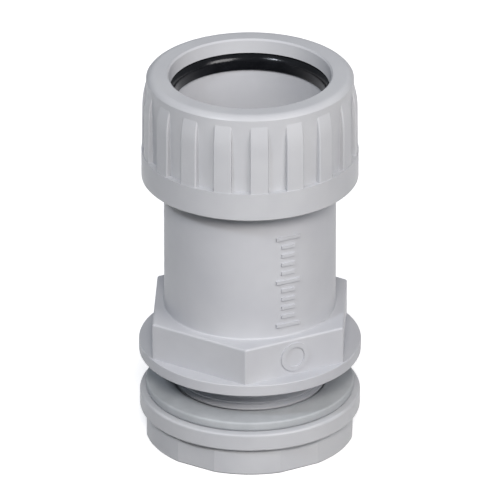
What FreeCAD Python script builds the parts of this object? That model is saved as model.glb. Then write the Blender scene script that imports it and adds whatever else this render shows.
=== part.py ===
# Cable gland for 32 mm rigid conduit, with an M32 x 1.5 entry thread for a panel.
#
# Sizes are in millimetres. Z is the gland's axis and points to the conduit side.
# The origin is on that axis, level with the lock nut's lower face, and the hexagon
# on the gland body has its corners on the Y axis.
import FreeCAD, Part
import math
import os
import Sketcher

SIZES = [
    # gland body
    ("tube_radius", 18.0),
    ("socket_radius", 16.25),
    ("cable_way_radius", 13.3),
    ("stop_height", 7.9),
    ("flange_radius", 23.34),
    ("flange_thickness", 2.5),
    ("flange_rounding", 0.2),
    ("hexagon_across_flats", 40.0),
    ("hexagon_height", 8.1),
    ("hexagon_rounding", 0.45),
    ("tube_foot_rounding", 0.3),
    ("rim_height", 58.5),
    ("rim_radius", 18.5),
    ("seat_height", 56.9),
    ("seat_depth", 1.6),
    # entry thread, M32 x 1.5, drawn as rings of its pitch
    ("entry_radius", 15.9),
    ("entry_root_radius", 14.95),
    ("entry_pitch", 1.5),
    ("entry_length", 18.0),
    ("entry_relief", 2.75),
    # thread between gland body and clamping nut, drawn as rings too
    ("collar_radius", 20.0),
    ("collar_root_radius", 18.8),
    ("collar_pitch", 2.0),
    ("collar_bottom", 42.9),
    ("collar_top", 57.3),
    ("collar_first_groove", 1.4),
    # thread form, shared by both threads, and the nuts' play over the crests
    ("flank_slope", 0.5774),
    ("root_flat", 0.2),
    ("groove_overcut", 0.05),
    ("thread_play", 0.15),
    # raised depth scale on the tube and round pad on the hexagon
    ("scale_start", 13.0),
    ("scale_length", 20.0),
    ("scale_turn", 28.3),
    ("mark_relief", 0.3),
    ("tick_height", 0.7),
    ("long_tick_width", 5.4),
    ("short_tick_width", 3.0),
    ("pad_radius", 3.2),
    ("pad_groove_radius", 2.2),
    # clamping nut
    ("clamp_height", 23.3),
    ("clamp_lift", 40.1),
    ("clamp_turn", 7.3),
    ("band_radius", 22.65),
    ("band_height", 6.2),
    ("rib_foot_radius", 22.5),
    ("rib_head_radius", 22.4),
    ("rib_head_height", 15.8),
    ("rib_top", 21.0),
    ("rib_nose_rounding", 17.3),
    ("rib_edge_rounding", 0.3),
    ("collar_face_radius", 21.6),
    ("shoulder_height", 22.4),
    ("shoulder_rounding", 2.0),
    ("crown_radius", 19.8),
    ("mouth_radius", 16.92),
    ("mouth_chamfer", 0.35),
    ("lip_radius", 16.6),
    ("lip_thickness", 3.0),
    ("chamber_radius", 20.4),
    ("entry_depth", 1.8),
    ("chamber_depth", 2.9),
    ("nut_chamfer", 0.3),
    ("thread_run_out", 0.4),
    ("thread_lead_in", 0.8),
    ("recess_floor_radius", 21.4),
    ("recess_angle", 10.0),
    ("recess_taper", 0.15),
    ("recess_reach", 0.2),
    # slip ring and sealing ring
    ("slip_inner_radius", 17.8),
    ("slip_outer_radius", 19.6),
    ("slip_thickness", 0.85),
    ("seal_radius", 16.06),
    ("seal_outer_radius", 19.2),
    ("seal_bead_radius", 17.5),
    ("seal_top", 3.35),
    ("seal_rounding", 0.45),
    ("seal_step", 0.7),
    ("seal_toe_height", 0.4),
    ("seal_toe_width", 0.2),
    # flange gasket
    ("gasket_inner_radius", 16.05),
    ("gasket_radius", 21.9),
    ("gasket_thickness", 2.2),
    ("gasket_rounding", 0.4),
    ("panel_gap", 6.9),
    # lock nut
    ("lock_nut_height", 10.0),
    ("lock_nut_turn", 0.8),
    ("collar_plate_radius", 23.2),
    ("collar_plate_thickness", 3.9),
    ("wrench_radius", 22.1),
    ("wrench_across_flats", 43.3),
    ("lock_nut_rounding", 0.5),
    ("lock_nut_lead_in", 0.8),
]

GASKET_TOP = "(sizes.lock_nut_height + sizes.gasket_thickness)"
FLANGE_BOTTOM = "(" + GASKET_TOP + " + sizes.panel_gap)"
HEXAGON_TOP = "(sizes.flange_thickness + sizes.hexagon_height)"

ENTRY_GROOVES = 9
COLLAR_GROOVES = 7
RIB_COUNT = 18
FLAT_COUNT = 6
LONG_TICKS = 3
SHORT_TICKS = 11
FACE_TURN = 30  # degrees from the front corner to the middle of the face beside it
SUNK = 1.0  # how deep the raised marks start inside the wall
CUT_PAST = 1  # how far a cutting outline runs past the part
Z_AXIS = FreeCAD.Vector(0, 0, 1)


def make_sheet(doc):
    """Put the driving dimensions into a sheet, one alias to a row."""
    sheet = doc.addObject("Spreadsheet::Sheet", "sizes")
    for row, (alias, value) in enumerate(SIZES, start=1):
        sheet.set(f"A{row}", alias.replace("_", " "))
        sheet.set(f"B{row}", str(value))
        sheet.setAlias(f"B{row}", alias)
    doc.recompute()
    return sheet


def value_of(body, expression):
    """Number that an expression on the sheet has now."""
    return float(body.Document.getObject("sizes").evalExpression(expression))


def new_body(doc, label):
    body = doc.addObject("PartDesign::Body", label)
    body.Label = label
    return body


def origin_item(body, role):
    """One of the body's own origin planes or axes."""
    return [item for item in body.Origin.OriginFeatures if item.Role == role][0]


def new_sketch(body, name, role):
    """Empty sketch on one of the body's own origin planes."""
    sketch = body.newObject("Sketcher::SketchObject", name)
    sketch.AttachmentSupport = [(origin_item(body, role), "")]
    sketch.MapMode = "FlatFace"
    return sketch


def pin_point(body, sketch, geometry, point, x_expression, y_expression):
    """Tie one end of a line or arc to the sheet, from the sketch's origin."""
    for kind, expression in (("DistanceX", x_expression), ("DistanceY", y_expression)):
        value = value_of(body, expression)
        index = sketch.addConstraint(
            Sketcher.Constraint(kind, -1, 1, geometry, point, value))
        sketch.setExpression(f"Constraints[{index}]", expression)


def arc_middle(start, end, radius):
    """Middle point of the arc that bulges to the right of the way from start to end."""
    chord = end - start
    rise = radius - math.sqrt(radius ** 2 - (chord.Length / 2) ** 2)
    side = FreeCAD.Vector(chord.y, -chord.x, 0).normalize()
    return (start + end) / 2 + side * rise


def draw_outline(body, sketch, points):
    """Closed outline. A point is (x, y), or (x, y, radius) where an arc arrives."""
    places = [FreeCAD.Vector(value_of(body, p[0]), value_of(body, p[1]), 0) for p in points]
    count = len(points)
    for i, start in enumerate(places):
        end = places[(i + 1) % count]
        arrival = points[(i + 1) % count]
        if len(arrival) == 3:
            middle = arc_middle(start, end, value_of(body, arrival[2]))
            sketch.addGeometry(Part.Arc(start, middle, end))
        else:
            sketch.addGeometry(Part.LineSegment(start, end))
    ends = [ends_of(sketch, i, places[i]) for i in range(count)]
    for i in range(count):
        follower = (i + 1) % count
        sketch.addConstraint(
            Sketcher.Constraint("Coincident", i, ends[i][1], follower, ends[follower][0]))
    for i, point in enumerate(points):
        pin_point(body, sketch, i, ends[i][0], point[0], point[1])
        if len(point) == 3:
            arc = (i - 1) % count
            index = sketch.addConstraint(
                Sketcher.Constraint("Radius", arc, value_of(body, point[2])))
            sketch.setExpression(f"Constraints[{index}]", point[2])


def ends_of(sketch, geometry, start):
    """Point numbers of an edge's first and last end; an arc may run the other way."""
    if (sketch.getPoint(geometry, 1) - start).Length < 1e-6:
        return 1, 2
    return 2, 1


def revolve(body, name, points, cut=False):
    """Turn an outline of (radius, height) points round Z, as a solid or as a cut."""
    sketch = new_sketch(body, name + "_outline", "XZ_Plane")
    draw_outline(body, sketch, points)
    kind = "PartDesign::Groove" if cut else "PartDesign::Revolution"
    feature = body.newObject(kind, name)
    feature.Profile = sketch
    feature.ReferenceAxis = (sketch, ["V_Axis"])
    feature.Angle = 360
    body.Document.recompute()
    return feature


def cut_thread(body, name, pitch, root, outside, start, count):
    """Row of thread grooves round a shaft; start is the first one's middle height."""
    half_root = "sizes.root_flat / 2"
    half_mouth = f"({half_root} + ({outside} - {root}) * sizes.flank_slope)"
    groove = revolve(body, name + "_groove", [
        (root, f"{start} - {half_root}"),
        (outside, f"{start} - {half_mouth}"),
        (outside, f"{start} + {half_mouth}"),
        (root, f"{start} + {half_root}"),
    ], cut=True)
    row = body.newObject("PartDesign::LinearPattern", name)
    row.Originals = [groove]
    row.Direction = (origin_item(body, "Z_Axis"), [""])
    row.setExpression("Length", f"{pitch} * {count - 1}")
    row.Occurrences = count
    body.Tip = row
    body.Document.recompute()
    return row


def edges_where(feature, test):
    """Names of the edges whose middle radius and height, and the edge, pass a test."""
    names = []
    for number, edge in enumerate(feature.Shape.Edges, start=1):
        if edge.Degenerated:
            continue
        middle = edge.valueAt((edge.FirstParameter + edge.LastParameter) / 2)
        radius = math.hypot(middle.x, middle.y)
        if test(radius, middle.z, edge):
            names.append(f"Edge{number}")
    return names


def round_edges(body, name, base, radius, test):
    """Fillet of the edges that pass the test."""
    fillet = body.newObject("PartDesign::Fillet", name)
    fillet.Base = (base, edges_where(base, test))
    fillet.setExpression("Radius", radius)
    body.Document.recompute()
    return fillet


def is_upright(edge):
    direction = edge.Vertexes[-1].Point - edge.Vertexes[0].Point
    return abs(direction.z) > 0.9 * direction.Length > 0


def is_ring(edge, radius):
    """True for an edge that runs round the axis at a radius."""
    curve = edge.Curve
    return isinstance(curve, Part.Circle) and abs(curve.Radius - radius) < 0.01


def polar_pattern(body, name, feature, count):
    """Copies of a feature, evenly spaced round Z."""
    pattern = body.newObject("PartDesign::PolarPattern", name)
    pattern.Originals = [feature]
    pattern.Axis = (origin_item(body, "Z_Axis"), [""])
    pattern.Angle = 360
    pattern.Occurrences = count
    body.Tip = pattern
    body.Document.recompute()
    return pattern


def place(body, height, turn="0"):
    """Stand a body at its height on the axis, turned about it."""
    body.setExpression("Placement.Base.z", height)
    body.Placement.Rotation = FreeCAD.Rotation(Z_AXIS, value_of(body, turn))
    body.setExpression("Placement.Rotation.Angle", turn + " * 1 deg")


def facing_sketch(body, name, turn, distance):
    """Sketch on an upright plane whose normal leaves the axis at a turn from -Y."""
    sketch = new_sketch(body, name, "XZ_Plane")
    rotation = FreeCAD.Rotation(FreeCAD.Vector(0, 1, 0), turn)
    offset = rotation.multVec(FreeCAD.Vector(0, 0, distance))
    sketch.AttachmentOffset = FreeCAD.Placement(offset, rotation)
    return sketch


def pad_outward(body, sketch, name, length):
    pad = body.newObject("PartDesign::Pad", name)
    pad.Profile = sketch
    pad.setExpression("Length", length)
    body.Document.recompute()
    return pad


def add_ticks(body, name, width, count):
    """Row of raised bars up the tube, evenly spaced over the scale's length."""
    turn = value_of(body, "sizes.scale_turn")
    distance = value_of(body, "sizes.tube_radius") - SUNK
    sketch = facing_sketch(body, name + "_outline", turn, distance)
    low = "sizes.scale_start"
    high = "(sizes.scale_start + sizes.tick_height)"
    side = f"{width} / 2"
    draw_outline(body, sketch, [(f"-{side}", low), (side, low), (side, high), (f"-{side}", high)])
    pad = pad_outward(body, sketch, name, f"sizes.mark_relief + {SUNK}")
    row = body.newObject("PartDesign::LinearPattern", name + "_row")
    row.Originals = [pad]
    row.Direction = (sketch, ["V_Axis"])
    row.setExpression("Length", "sizes.scale_length")
    row.Occurrences = count
    body.Tip = row
    body.Document.recompute()
    return row


def add_round_pad(body):
    """Low round pad with a dished middle, on the hexagon's face beside the front corner."""
    middle = "(sizes.flange_thickness + sizes.hexagon_height / 2)"
    distance = value_of(body, "sizes.hexagon_across_flats / 2") - SUNK
    sketch = facing_sketch(body, "round_pad_outline", FACE_TURN, distance)
    for radius in ("sizes.pad_radius", "sizes.pad_groove_radius"):
        centre = FreeCAD.Vector(0, value_of(body, middle), 0)
        circle = sketch.addGeometry(Part.Circle(centre, Z_AXIS, value_of(body, radius)))
        pin_point(body, sketch, circle, 3, "0", middle)
        index = sketch.addConstraint(Sketcher.Constraint("Radius", circle, value_of(body, radius)))
        sketch.setExpression(f"Constraints[{index}]", radius)
    return pad_outward(body, sketch, "round_pad", f"sizes.mark_relief + {SUNK}")


def make_gland_body(doc):
    """Moulded body: entry thread, flange, hexagon, socket tube and threaded collar.

    Height 0 is the flange's sealing face.
    """
    body = new_body(doc, "gland_body")
    entry_end = "(0 - sizes.entry_length)"
    entry_lead = "(sizes.entry_radius - sizes.entry_root_radius)"
    collar_lead = "(sizes.collar_radius - sizes.rim_radius)"
    blank = revolve(body, "blank", [
        ("0", entry_end),
        ("sizes.entry_root_radius", entry_end),
        ("sizes.entry_radius", f"{entry_end} + {entry_lead}"),
        ("sizes.entry_radius", f"0 - sizes.entry_relief - {entry_lead}"),
        ("sizes.entry_root_radius", "0 - sizes.entry_relief"),
        ("sizes.entry_root_radius", "0"),
        ("sizes.flange_radius", "0"),
        ("sizes.flange_radius", "sizes.flange_thickness"),
        ("sizes.tube_radius", "sizes.flange_thickness"),
        ("sizes.tube_radius", "sizes.collar_bottom"),
        ("sizes.rim_radius", "sizes.collar_bottom"),
        ("sizes.collar_radius", f"sizes.collar_bottom + {collar_lead} / 2"),
        ("sizes.collar_radius", "sizes.collar_top"),
        ("sizes.rim_radius", "sizes.rim_height"),
        ("0", "sizes.rim_height"),
    ])
    blank = round_edges(body, "flange_edges", blank, "sizes.flange_rounding",
                        lambda r, z, e: is_ring(e, value_of(body, "sizes.flange_radius")))
    hexagon = add_hexagon(body)
    corner = value_of(body, "sizes.hexagon_across_flats / 2") / math.cos(math.pi / 6)
    hexagon = round_edges(body, "hexagon_corners", hexagon, "sizes.hexagon_rounding",
                          lambda r, z, e: is_upright(e) and abs(r - corner) < 0.01)
    top = value_of(body, HEXAGON_TOP)
    tube = value_of(body, "sizes.tube_radius")
    hexagon = round_edges(body, "hexagon_top_edges", hexagon, "sizes.hexagon_rounding",
                          lambda r, z, e: abs(z - top) < 0.01 and r > tube + 0.5)
    round_edges(body, "tube_foot", hexagon, "sizes.tube_foot_rounding",
                lambda r, z, e: abs(z - top) < 0.01 and is_ring(e, tube))
    add_ticks(body, "long_tick", "sizes.long_tick_width", LONG_TICKS)
    add_ticks(body, "short_tick", "sizes.short_tick_width", SHORT_TICKS)
    add_round_pad(body)
    cut_ways(body)
    cut_thread(body, "entry_thread", "sizes.entry_pitch", "sizes.entry_root_radius",
               "(sizes.entry_radius + sizes.groove_overcut)",
               f"({entry_end} + sizes.entry_pitch)", ENTRY_GROOVES)
    cut_thread(body, "collar_thread", "sizes.collar_pitch", "sizes.collar_root_radius",
               "(sizes.collar_radius + sizes.groove_overcut)",
               "(sizes.collar_bottom + sizes.collar_first_groove)",
               COLLAR_GROOVES)
    place(body, FLANGE_BOTTOM)
    return body


def add_hexagon(body):
    """Wrench hexagon on the flange, with a corner at the front."""
    sketch = new_sketch(body, "hexagon_outline", "XY_Plane")
    sketch.AttachmentOffset = FreeCAD.Placement(
        FreeCAD.Vector(0, 0, value_of(body, "sizes.flange_thickness")), FreeCAD.Rotation())
    corners = []
    reach = "sizes.hexagon_across_flats / (2 * cos(30 deg))"
    for step in range(6):
        angle = 60 * step - 90
        corners.append((f"{reach} * cos({angle} deg)", f"{reach} * sin({angle} deg)"))
    draw_outline(body, sketch, corners)
    sketch.setExpression("AttachmentOffset.Base.z", "sizes.flange_thickness")
    return pad_outward(body, sketch, "hexagon", "sizes.hexagon_height")


def cut_ways(body):
    """Conduit socket down to its stop, cable way below it, and the seal's conical seat."""
    revolve(body, "conduit_socket", [
        ("0", "sizes.stop_height"),
        ("sizes.socket_radius", "sizes.stop_height"),
        ("sizes.socket_radius", "sizes.seat_height"),
        ("sizes.socket_radius + sizes.seat_depth", "sizes.seat_height + sizes.seat_depth"),
        ("sizes.socket_radius + sizes.seat_depth", f"sizes.rim_height + {CUT_PAST}"),
        ("0", f"sizes.rim_height + {CUT_PAST}"),
    ], cut=True)
    revolve(body, "cable_way", [
        ("0", f"0 - sizes.entry_length - {CUT_PAST}"),
        ("sizes.cable_way_radius", f"0 - sizes.entry_length - {CUT_PAST}"),
        ("sizes.cable_way_radius", f"sizes.stop_height + {CUT_PAST}"),
        ("0", f"sizes.stop_height + {CUT_PAST}"),
    ], cut=True)


def make_clamping_nut(doc):
    """Screw cap with ribs for the hand; height 0 is its lower face."""
    body = new_body(doc, "clamping_nut")
    chamber_roof = "(sizes.clamp_height - sizes.lip_thickness)"
    thread_top = f"({chamber_roof} - sizes.chamber_depth)"
    bore = "(sizes.collar_radius + sizes.thread_play)"
    revolve(body, "cap", [
        ("sizes.chamber_radius", "0"),
        ("sizes.band_radius - sizes.nut_chamfer", "0"),
        ("sizes.band_radius", "sizes.nut_chamfer"),
        ("sizes.band_radius", "sizes.band_height"),
        ("sizes.rib_foot_radius", "sizes.band_height"),
        ("sizes.rib_head_radius", "sizes.rib_head_height"),
        ("sizes.collar_face_radius", "sizes.rib_top", "sizes.rib_nose_rounding"),
        ("sizes.collar_face_radius", "sizes.shoulder_height"),
        ("sizes.crown_radius", "sizes.clamp_height", "sizes.shoulder_rounding"),
        ("sizes.mouth_radius + sizes.mouth_chamfer", "sizes.clamp_height"),
        ("sizes.mouth_radius", "sizes.clamp_height - sizes.mouth_chamfer"),
        ("sizes.lip_radius", chamber_roof),
        ("sizes.chamber_radius", chamber_roof),
        ("sizes.chamber_radius", thread_top),
        (bore, f"{thread_top} - sizes.thread_run_out"),
        (bore, "sizes.entry_depth"),
        ("sizes.chamber_radius", "sizes.entry_depth - sizes.thread_lead_in"),
    ])
    recess = cut_recess(body)
    ribs = polar_pattern(body, "ribs", recess, RIB_COUNT)
    round_edges(body, "rib_edges", ribs, "sizes.rib_edge_rounding", is_rib_edge(body))
    place(body, f"{FLANGE_BOTTOM} + sizes.clamp_lift", "sizes.clamp_turn")
    return body


def cut_recess(body):
    """One recess between two ribs; its floor runs out into the smooth collar above."""
    outer = f"(sizes.band_radius + {CUT_PAST})"
    run_out = "(sizes.collar_face_radius + sizes.recess_taper)"
    sketch = new_sketch(body, "recess_outline", "XZ_Plane")
    draw_outline(body, sketch, [
        ("sizes.recess_floor_radius", "sizes.band_height"),
        (outer, "sizes.band_height"),
        (outer, f"sizes.clamp_height + {CUT_PAST}"),
        (run_out, f"sizes.clamp_height + {CUT_PAST}"),
        ("sizes.collar_face_radius", "sizes.rib_top + sizes.recess_reach"),
    ])
    recess = body.newObject("PartDesign::Groove", "recess")
    recess.Profile = sketch
    recess.ReferenceAxis = (sketch, ["V_Axis"])
    recess.setExpression("Angle", "sizes.recess_angle * 1 deg")
    recess.Midplane = True
    body.Document.recompute()
    return recess


def is_rib_edge(body):
    """Test for the upright edges along the face of each rib."""
    foot = value_of(body, "sizes.band_height")
    top = value_of(body, "sizes.rib_top")
    floor = value_of(body, "sizes.collar_face_radius")

    def test(radius, height, edge):
        return is_upright(edge) and foot < height < top and radius > floor + 0.3
    return test


def make_slip_ring(doc):
    """Thin ring that lets the clamping nut turn without twisting the seal."""
    body = new_body(doc, "slip_ring")
    revolve(body, "ring", [
        ("sizes.slip_inner_radius", "0"),
        ("sizes.slip_outer_radius", "0"),
        ("sizes.slip_outer_radius", "sizes.slip_thickness"),
        ("sizes.slip_inner_radius", "sizes.slip_thickness"),
    ])
    place(body, f"{FLANGE_BOTTOM} + sizes.clamp_lift + sizes.clamp_height"
                " - sizes.lip_thickness - sizes.slip_thickness")
    return body


def make_sealing_ring(doc):
    """Rubber ring that the nut squeezes onto the conduit; height 0 is its lower tip."""
    body = new_body(doc, "sealing_ring")
    shoulder = "(sizes.seal_top - sizes.seal_step)"
    revolve(body, "ring", [
        ("sizes.seal_radius", "sizes.seal_toe_height"),
        ("sizes.seal_radius + sizes.seal_toe_width",
         "sizes.seal_toe_height - sizes.seal_toe_width"),
        ("sizes.socket_radius + sizes.seat_depth", "sizes.seat_depth"),
        ("sizes.seal_outer_radius", "sizes.seat_depth"),
        ("sizes.seal_outer_radius", shoulder),
        ("sizes.seal_bead_radius", shoulder),
        ("sizes.seal_bead_radius", "sizes.seal_top"),
        ("sizes.seal_radius + sizes.seal_rounding", "sizes.seal_top"),
        ("sizes.seal_radius", "sizes.seal_top - sizes.seal_rounding"),
    ])
    place(body, f"{FLANGE_BOTTOM} + sizes.seat_height")
    return body


def make_flange_gasket(doc):
    """Flat rubber washer that seals the flange against the panel."""
    body = new_body(doc, "flange_gasket")
    washer = revolve(body, "washer", [
        ("sizes.gasket_inner_radius", "0"),
        ("sizes.gasket_radius", "0"),
        ("sizes.gasket_radius", "sizes.gasket_thickness"),
        ("sizes.gasket_inner_radius", "sizes.gasket_thickness"),
    ])
    rim = value_of(body, "sizes.gasket_radius")
    round_edges(body, "rim_edges", washer, "sizes.gasket_rounding",
                lambda r, z, e: is_ring(e, rim))
    place(body, "sizes.lock_nut_height")
    return body


def make_lock_nut(doc):
    """Nut for the entry thread: a round collar plate over six shallow wrench flats."""
    body = new_body(doc, "lock_nut")
    plate_bottom = "(sizes.lock_nut_height - sizes.collar_plate_thickness)"
    blank = revolve(body, "nut", [
        ("0", "0"),
        ("sizes.wrench_radius", "0"),
        ("sizes.wrench_radius", plate_bottom),
        ("sizes.collar_plate_radius", plate_bottom),
        ("sizes.collar_plate_radius", "sizes.lock_nut_height"),
        ("0", "sizes.lock_nut_height"),
    ])
    plate = value_of(body, "sizes.collar_plate_radius")
    blank = round_edges(body, "plate_edges", blank, "sizes.lock_nut_rounding",
                        lambda r, z, e: is_ring(e, plate))
    flat = cut_flat(body, plate_bottom)
    flats = polar_pattern(body, "wrench_flats", flat, FLAT_COUNT)
    round_edges(body, "foot_edges", flats, "sizes.lock_nut_rounding",
                lambda r, z, e: abs(z) < 0.01 and r > plate - 2)
    bore = "(sizes.entry_radius + sizes.thread_play)"
    lead = f"({bore} + sizes.lock_nut_lead_in)"
    revolve(body, "nut_bore", [
        ("0", f"0 - {CUT_PAST}"),
        (lead, f"0 - {CUT_PAST}"),
        (lead, "0"),
        (bore, "sizes.lock_nut_lead_in"),
        (bore, "sizes.lock_nut_height - sizes.lock_nut_lead_in"),
        (lead, "sizes.lock_nut_height"),
        (lead, f"sizes.lock_nut_height + {CUT_PAST}"),
        ("0", f"sizes.lock_nut_height + {CUT_PAST}"),
    ], cut=True)
    place(body, "0", "sizes.lock_nut_turn")
    return body


def cut_flat(body, plate_bottom):
    """One wrench flat on the nut's right side, below the collar plate."""
    near = "sizes.wrench_across_flats / 2"
    far = f"(sizes.wrench_radius + {CUT_PAST})"
    side = "sizes.wrench_radius / 2"
    sketch = new_sketch(body, "flat_outline", "XY_Plane")
    draw_outline(body, sketch, [(near, f"-{side}"), (far, f"-{side}"), (far, side), (near, side)])
    pocket = body.newObject("PartDesign::Pocket", "wrench_flat")
    pocket.Profile = sketch
    pocket.Reversed = True
    pocket.setExpression("Length", plate_bottom)
    body.Document.recompute()
    return pocket


def check_objects(doc):
    """Stop if any object of the document failed to compute."""
    for item in doc.Objects:
        if "Invalid" in item.State or "Error" in item.State:
            raise RuntimeError(f"{item.Name} did not compute: {item.State}")


def check_shape(part):
    shape = part.Shape
    if shape.isNull() or not shape.isValid() or len(shape.Solids) != 1:
        raise RuntimeError(f"{part.Label} is not one valid solid")
    box = shape.BoundBox
    print(f"{part.Label}: {shape.Volume:.1f} mm3, z {box.ZMin:.2f} to {box.ZMax:.2f}")


def main():
    doc = FreeCAD.newDocument("cable_gland")
    make_sheet(doc)
    makers = [make_gland_body, make_clamping_nut, make_slip_ring,
              make_sealing_ring, make_flange_gasket, make_lock_nut]
    parts = [make(doc) for make in makers]
    doc.recompute()
    check_objects(doc)
    for part in parts:
        check_shape(part)
    os.makedirs("parts", exist_ok=True)
    for part in parts:
        part.Shape.exportStep(f"parts/{part.Label}.step")


main()
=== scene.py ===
import math

import bpy
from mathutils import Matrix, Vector


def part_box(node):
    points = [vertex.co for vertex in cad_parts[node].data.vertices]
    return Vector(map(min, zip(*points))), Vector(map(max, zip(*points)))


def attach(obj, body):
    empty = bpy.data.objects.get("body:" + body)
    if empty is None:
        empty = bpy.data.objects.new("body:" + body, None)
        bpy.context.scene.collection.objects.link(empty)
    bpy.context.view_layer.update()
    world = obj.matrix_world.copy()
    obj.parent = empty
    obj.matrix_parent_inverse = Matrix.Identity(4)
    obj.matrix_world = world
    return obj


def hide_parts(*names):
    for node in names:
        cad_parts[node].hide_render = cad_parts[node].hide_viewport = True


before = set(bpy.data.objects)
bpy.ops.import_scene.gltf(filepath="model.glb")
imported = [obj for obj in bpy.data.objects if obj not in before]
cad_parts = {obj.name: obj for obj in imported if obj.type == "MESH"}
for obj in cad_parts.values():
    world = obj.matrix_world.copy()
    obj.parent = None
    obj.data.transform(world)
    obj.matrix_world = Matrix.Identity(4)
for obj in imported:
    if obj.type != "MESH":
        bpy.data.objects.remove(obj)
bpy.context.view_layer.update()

# Gland body: one piece moulded in light grey polyamide, from the threaded entry up
# to the collar that the clamping nut screws onto. The tool was spark-eroded, so the
# skin is satin with a very fine grain.
MM = 0.001
BODY_LIGHT = "#BEC0C4"
BODY_DARK = "#B7B9BE"
FLOW_MARK = 14 * MM
GRAIN = 0.35 * MM  # the real grain is a tenth of this, too fine to show
GRAIN_DEPTH = 0.004 * MM


def linear(colour):
    """Linear RGBA of an sRGB hex colour."""
    parts = [int(colour[i:i + 2], 16) / 255 for i in (1, 3, 5)]
    return [c / 12.92 if c <= 0.04045 else ((c + 0.055) / 1.055) ** 2.4 for c in parts] + [1.0]


def add_node(tree, kind, inputs=None):
    """New node, whose inputs are values or (node, output) links."""
    node = tree.nodes.new(kind)
    for name, value in (inputs or {}).items():
        if isinstance(value, tuple):
            tree.links.new(value[0].outputs[value[1]], node.inputs[name])
        else:
            node.inputs[name].default_value = value
    return node


def new_material(name):
    material = bpy.data.materials.new(name)
    material.use_nodes = True
    material.node_tree.nodes.clear()
    return material, material.node_tree


def moulded_plastic(name, light, dark, roughness):
    """Satin moulded plastic: faint flow marks in the colour, fine grain in the skin."""
    material, tree = new_material(name)
    place = add_node(tree, "ShaderNodeTexCoord")
    flow = add_node(tree, "ShaderNodeTexNoise", inputs={
        "Vector": (place, "Object"), "Scale": 1 / FLOW_MARK, "Detail": 3.0, "Roughness": 0.55})
    colour = add_node(tree, "ShaderNodeValToRGB", inputs={"Fac": (flow, "Fac")})
    colour.color_ramp.elements[0].position = 0.35
    colour.color_ramp.elements[0].color = linear(dark)
    colour.color_ramp.elements[1].position = 0.65
    colour.color_ramp.elements[1].color = linear(light)
    grain = add_node(tree, "ShaderNodeTexNoise", inputs={
        "Vector": (place, "Object"), "Scale": 1 / GRAIN, "Detail": 2.0, "Roughness": 0.5})
    gloss = add_node(tree, "ShaderNodeMapRange", inputs={
        "Value": (grain, "Fac"), "From Min": 0.3, "From Max": 0.7,
        "To Min": roughness - 0.05, "To Max": roughness + 0.05})
    skin = add_node(tree, "ShaderNodeBump", inputs={
        "Height": (grain, "Fac"), "Strength": 0.5, "Distance": GRAIN_DEPTH})
    plastic = add_node(tree, "ShaderNodeBsdfPrincipled", inputs={
        "Base Color": (colour, "Color"), "Roughness": (gloss, "Result"),
        "Normal": (skin, "Normal"), "IOR": 1.53})
    add_node(tree, "ShaderNodeOutputMaterial", inputs={"Surface": (plastic, "BSDF")})
    return material


def dress(node, material):
    """Give a CAD node its material."""
    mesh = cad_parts[node].data
    mesh.materials.clear()
    mesh.materials.append(material)


polyamide = moulded_plastic("moulded_polyamide", BODY_LIGHT, BODY_DARK, 0.42)
dress("gland_body", polyamide)

# Clamping nut: screw cap in the same polyamide from its own mould, with eighteen
# ribs for the hand. Its walls are thicker, so its skin is a touch glossier.
NUT_LIGHT = "#BFC1C4"
NUT_DARK = "#B8BABE"
nut_polyamide = moulded_plastic("nut_polyamide", NUT_LIGHT, NUT_DARK, 0.38)
dress("clamping_nut", nut_polyamide)

# Slip ring: a thin washer of undyed acetal, stamped from sheet, that lets the
# clamping nut turn without twisting the seal under it.
ACETAL_LIGHT = "#E9E6DC"
ACETAL_DARK = "#E1DED3"
dress("slip_ring", moulded_plastic("natural_acetal", ACETAL_LIGHT, ACETAL_DARK, 0.3))

# Sealing ring: compression-moulded black EPDM rubber with a bead on its inner side,
# pushed into the body's mouth and held there by the clamping nut.
RUBBER_BLACK = "#0C0D10"
RUBBER_WORN = "#131417"
RUBBER_MARBLING = 5 * MM
RUBBER_PIMPLE = 0.5 * MM
seal_low, seal_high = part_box("sealing_ring")
seal_outer = seal_high.x
RING_STEPS = 144
SHARP_EDGE = math.radians(35)
SAME_PLACE = 0.01 * MM


def deselect_all():
    if bpy.context.object and bpy.context.object.mode != "OBJECT":
        bpy.ops.object.mode_set(mode="OBJECT")
    bpy.ops.object.select_all(action="DESELECT")


def start_section(name, inner, outer, low, high):
    """Upright rectangle across a ring's wall, on the X side of the axis, in edit mode."""
    deselect_all()
    middle = ((inner + outer) / 2, 0, (low + high) / 2)
    bpy.ops.mesh.primitive_plane_add(size=1, location=middle, rotation=(math.pi / 2, 0, 0))
    piece = bpy.context.object
    piece.name = name
    piece.data.name = name
    piece.scale = (outer - inner, high - low, 1)
    bpy.ops.object.transform_apply(location=True, rotation=True, scale=True)
    bpy.ops.object.mode_set(mode="EDIT")
    return piece


def select_points(piece, test):
    """Select the vertices whose places pass a test, and the edges between them."""
    bpy.ops.mesh.select_mode(type="VERT")
    bpy.ops.mesh.select_all(action="DESELECT")
    bpy.ops.object.mode_set(mode="OBJECT")
    for vertex in piece.data.vertices:
        vertex.select = test(vertex.co)
    bpy.ops.object.mode_set(mode="EDIT")


def near(a, b):
    return abs(a - b) < SAME_PLACE


def extrude_by(x, z):
    """Extrude what is selected and move it outwards and up."""
    bpy.ops.mesh.extrude_region_move(TRANSFORM_OT_translate={"value": (x, 0, z)})


def round_corners(piece, radius, segments, test):
    """Round the corners of the section that pass a test."""
    select_points(piece, test)
    bpy.ops.mesh.bevel(offset=radius, segments=segments, affect="VERTICES", clamp_overlap=True)


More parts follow.
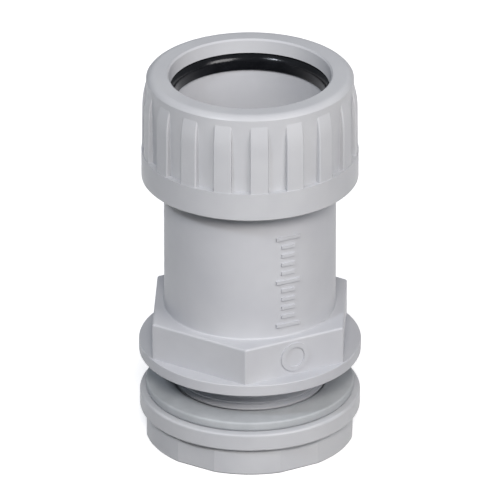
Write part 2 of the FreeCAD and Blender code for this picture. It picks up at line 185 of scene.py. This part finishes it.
def close_ring(piece):
    """Spin the section round the axis into a closed ring."""
    bpy.ops.mesh.select_all(action="SELECT")
    bpy.ops.mesh.delete(type="ONLY_FACE")
    bpy.ops.mesh.select_all(action="SELECT")
    bpy.ops.mesh.spin(steps=RING_STEPS, angle=2 * math.pi, center=(0, 0, 0), axis=(0, 0, 1))
    bpy.ops.mesh.select_all(action="SELECT")
    bpy.ops.mesh.remove_doubles(threshold=0.001 * MM)
    bpy.ops.mesh.normals_make_consistent(inside=False)
    bpy.ops.object.mode_set(mode="OBJECT")
    bpy.ops.object.shade_smooth_by_angle(angle=SHARP_EDGE)


bead_inner = 15.65 * MM
bead_outer = 17.45 * MM
shoulder_top = seal_high.z - 0.72 * MM
shoulder_low = shoulder_top - 0.95 * MM
tip = seal_low.z - 0.4 * MM
tip_thinning = 1.33 * MM
tip_rise = 0.05 * MM
crown_rounding = 1.7 * MM
tip_rounding = 0.4 * MM
shoulder_rounding = 0.15 * MM


def on_bead(point):
    return point.x < bead_outer + SAME_PLACE


seal = start_section("seal_lip", bead_inner, bead_outer, shoulder_low, shoulder_top)
select_points(seal, lambda p: near(p.x, bead_outer))
extrude_by(seal_outer - bead_outer, 0)
select_points(seal, lambda p: near(p.z, shoulder_top) and on_bead(p))
extrude_by(0, seal_high.z - shoulder_top)
select_points(seal, lambda p: near(p.z, shoulder_low) and on_bead(p))
extrude_by(0, tip - shoulder_low)
select_points(seal, lambda p: near(p.z, tip) and near(p.x, bead_outer))
bpy.ops.transform.translate(value=(-tip_thinning, 0, tip_rise))
bpy.ops.mesh.select_all(action="SELECT")
bpy.ops.mesh.dissolve_limited(angle_limit=math.radians(1))
round_corners(seal, crown_rounding, 12,
              lambda p: near(p.x, bead_inner) and near(p.z, seal_high.z))
round_corners(seal, tip_rounding, 5, lambda p: near(p.x, bead_inner) and near(p.z, tip))
round_corners(seal, shoulder_rounding, 3, lambda p: near(p.x, seal_outer))
close_ring(seal)


def moulded_rubber(name, dark, light, roughness, marbling, pimple):
    """Moulded rubber: uneven bloom over the colour, small pimples in the skin."""
    material, tree = new_material(name)
    place = add_node(tree, "ShaderNodeTexCoord")
    bloom = add_node(tree, "ShaderNodeTexNoise", inputs={
        "Vector": (place, "Object"), "Scale": 1 / marbling, "Detail": 4.0, "Roughness": 0.6})
    colour = add_node(tree, "ShaderNodeValToRGB", inputs={"Fac": (bloom, "Fac")})
    colour.color_ramp.elements[0].position = 0.35
    colour.color_ramp.elements[0].color = linear(dark)
    colour.color_ramp.elements[1].position = 0.7
    colour.color_ramp.elements[1].color = linear(light)
    pimples = add_node(tree, "ShaderNodeTexVoronoi", inputs={
        "Vector": (place, "Object"), "Scale": 1 / pimple})
    skin = add_node(tree, "ShaderNodeBump", inputs={
        "Height": (pimples, "Distance"), "Strength": 0.35, "Distance": 0.02 * MM})
    gloss = add_node(tree, "ShaderNodeMapRange", inputs={
        "Value": (bloom, "Fac"), "From Min": 0.3, "From Max": 0.7,
        "To Min": roughness, "To Max": roughness + 0.15})
    rubber = add_node(tree, "ShaderNodeBsdfPrincipled", inputs={
        "Base Color": (colour, "Color"), "Roughness": (gloss, "Result"),
        "Normal": (skin, "Normal"), "IOR": 1.52})
    add_node(tree, "ShaderNodeOutputMaterial", inputs={"Surface": (rubber, "BSDF")})
    return material


epdm = moulded_rubber("black_epdm", RUBBER_BLACK, RUBBER_WORN, 0.13,
                      RUBBER_MARBLING, RUBBER_PIMPLE)
seal.data.materials.append(epdm)
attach(seal, "gland_body")
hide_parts("sealing_ring")

# Flange gasket: a flat washer of light grey rubber, moulded with soft corners, that
# lies loose on the lock nut until the panel is clamped.
GASKET_GREY = "#A6AAAD"
GASKET_BLOOM = "#B4B8BB"
GASKET_MARBLING = 7 * MM
GASKET_PIMPLE = 0.4 * MM
gasket_low, gasket_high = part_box("flange_gasket")
gasket_inner = 16.1 * MM
gasket_top = gasket_high.z - 0.03 * MM  # just clear of the flange that it is pulled up to
rim_rounding = 0.45 * MM
foot_rounding = 0.85 * MM
bore_rounding = 0.2 * MM
gasket = start_section("gasket_washer", gasket_inner, gasket_high.x, gasket_low.z, gasket_top)
round_corners(gasket, rim_rounding, 5,
              lambda p: near(p.x, gasket_high.x) and near(p.z, gasket_top))
round_corners(gasket, foot_rounding, 6,
              lambda p: near(p.x, gasket_high.x) and near(p.z, gasket_low.z))
round_corners(gasket, bore_rounding, 3, lambda p: near(p.x, gasket_inner))
close_ring(gasket)
grey_rubber = moulded_rubber("grey_rubber", GASKET_GREY, GASKET_BLOOM, 0.5,
                             GASKET_MARBLING, GASKET_PIMPLE)
gasket.data.materials.append(grey_rubber)
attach(gasket, "flange_gasket")
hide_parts("flange_gasket")

# Lock nut: moulded in the clamping nut's polyamide, with a round collar plate over
# six shallow wrench flats.
dress("lock_nut", nut_polyamide)

# Floor, soft studio light and camera: a white paper floor, a sky that is brighter
# above than below, four softboxes round the object and a long lens.
FLOOR_SIDE = 8
deselect_all()
bpy.ops.mesh.primitive_plane_add(size=FLOOR_SIDE, location=(0, 0, 0))
floor = bpy.context.object
floor.name = "studio_floor"
floor_material, floor_tree = new_material("white_floor")
paper = add_node(floor_tree, "ShaderNodeBsdfPrincipled", inputs={
    "Base Color": linear("#F4F4F4"), "Roughness": 0.9, "Specular IOR Level": 0.1,
    "Emission Color": linear("#FFFFFF"), "Emission Strength": 0.5})
add_node(floor_tree, "ShaderNodeOutputMaterial", inputs={"Surface": (paper, "BSDF")})
floor.data.materials.append(floor_material)
floor.visible_diffuse = False  # the studio floor throws no light back up at the object

world = bpy.data.worlds.new("studio")
world.use_nodes = True
sky = world.node_tree
ray = add_node(sky, "ShaderNodeTexCoord")
upward = add_node(sky, "ShaderNodeSeparateXYZ", inputs={"Vector": (ray, "Generated")})
glow = add_node(sky, "ShaderNodeMapRange", inputs={
    "Value": (upward, "Z"), "From Min": -0.3, "From Max": 0.3, "To Min": 0.01, "To Max": 0.17})
background = sky.nodes["Background"]
background.inputs["Color"].default_value = linear("#ECF5FF")
sky.links.new(glow.outputs["Result"], background.inputs["Strength"])
bpy.context.scene.world = world

VIEW_TURN = 2.3
VIEW_RISE = 26.0
VIEW_HEIGHT = 41.7 * MM
VIEW_DISTANCE = 2.093
SOFTBOX_DISTANCE = 1.3


def direction(turn, rise):
    """Unit vector from the object towards a turn to the right of -Y and a rise."""
    turn = math.radians(turn)
    rise = math.radians(rise)
    level = math.cos(rise)
    return Vector((level * math.sin(turn), -level * math.cos(turn), math.sin(rise)))


def aim(thing, turn, rise, distance):
    """Put a lamp or camera at a distance from the object's middle and face it there."""
    away = direction(turn, rise)
    target = Vector((0, 0, VIEW_HEIGHT))
    thing.location = target + away * distance
    thing.rotation_euler = away.to_track_quat("Z", "Y").to_euler()


def add_softbox(name, turn, rise, side, watts, colour):
    """Square lamp facing the object, at a turn measured from the camera's."""
    lamp = bpy.data.lights.new(name, "AREA")
    lamp.shape = "SQUARE"
    lamp.size = side
    lamp.energy = watts
    lamp.color = linear(colour)[:3]
    box = bpy.data.objects.new(name, lamp)
    bpy.context.scene.collection.objects.link(box)
    aim(box, VIEW_TURN + turn, rise, SOFTBOX_DISTANCE)
    return box


add_softbox("right_softbox", 45, 33, 0.7, 9.0, "#FFFCFD")
add_softbox("left_softbox", -40, 44, 0.13, 4.7, "#EEF4FF")
front = add_softbox("front_softbox", 0, 38, 0.3, 10.6, "#FFF9F4")
back = add_softbox("back_softbox", 170, 12, 0.6, 2.8, "#FFFCFB")
for fill in (front, back):
    fill.visible_glossy = False  # these two fill the shadows and leave no glint

camera = bpy.data.cameras.new("camera")
camera.sensor_width = 36
camera.lens = 720
camera.clip_end = 20
camera_object = bpy.data.objects.new("camera", camera)
bpy.context.scene.collection.objects.link(camera_object)
aim(camera_object, VIEW_TURN, VIEW_RISE, VIEW_DISTANCE)
bpy.context.scene.camera = camera_object
bpy.context.scene.view_settings.view_transform = "Standard"
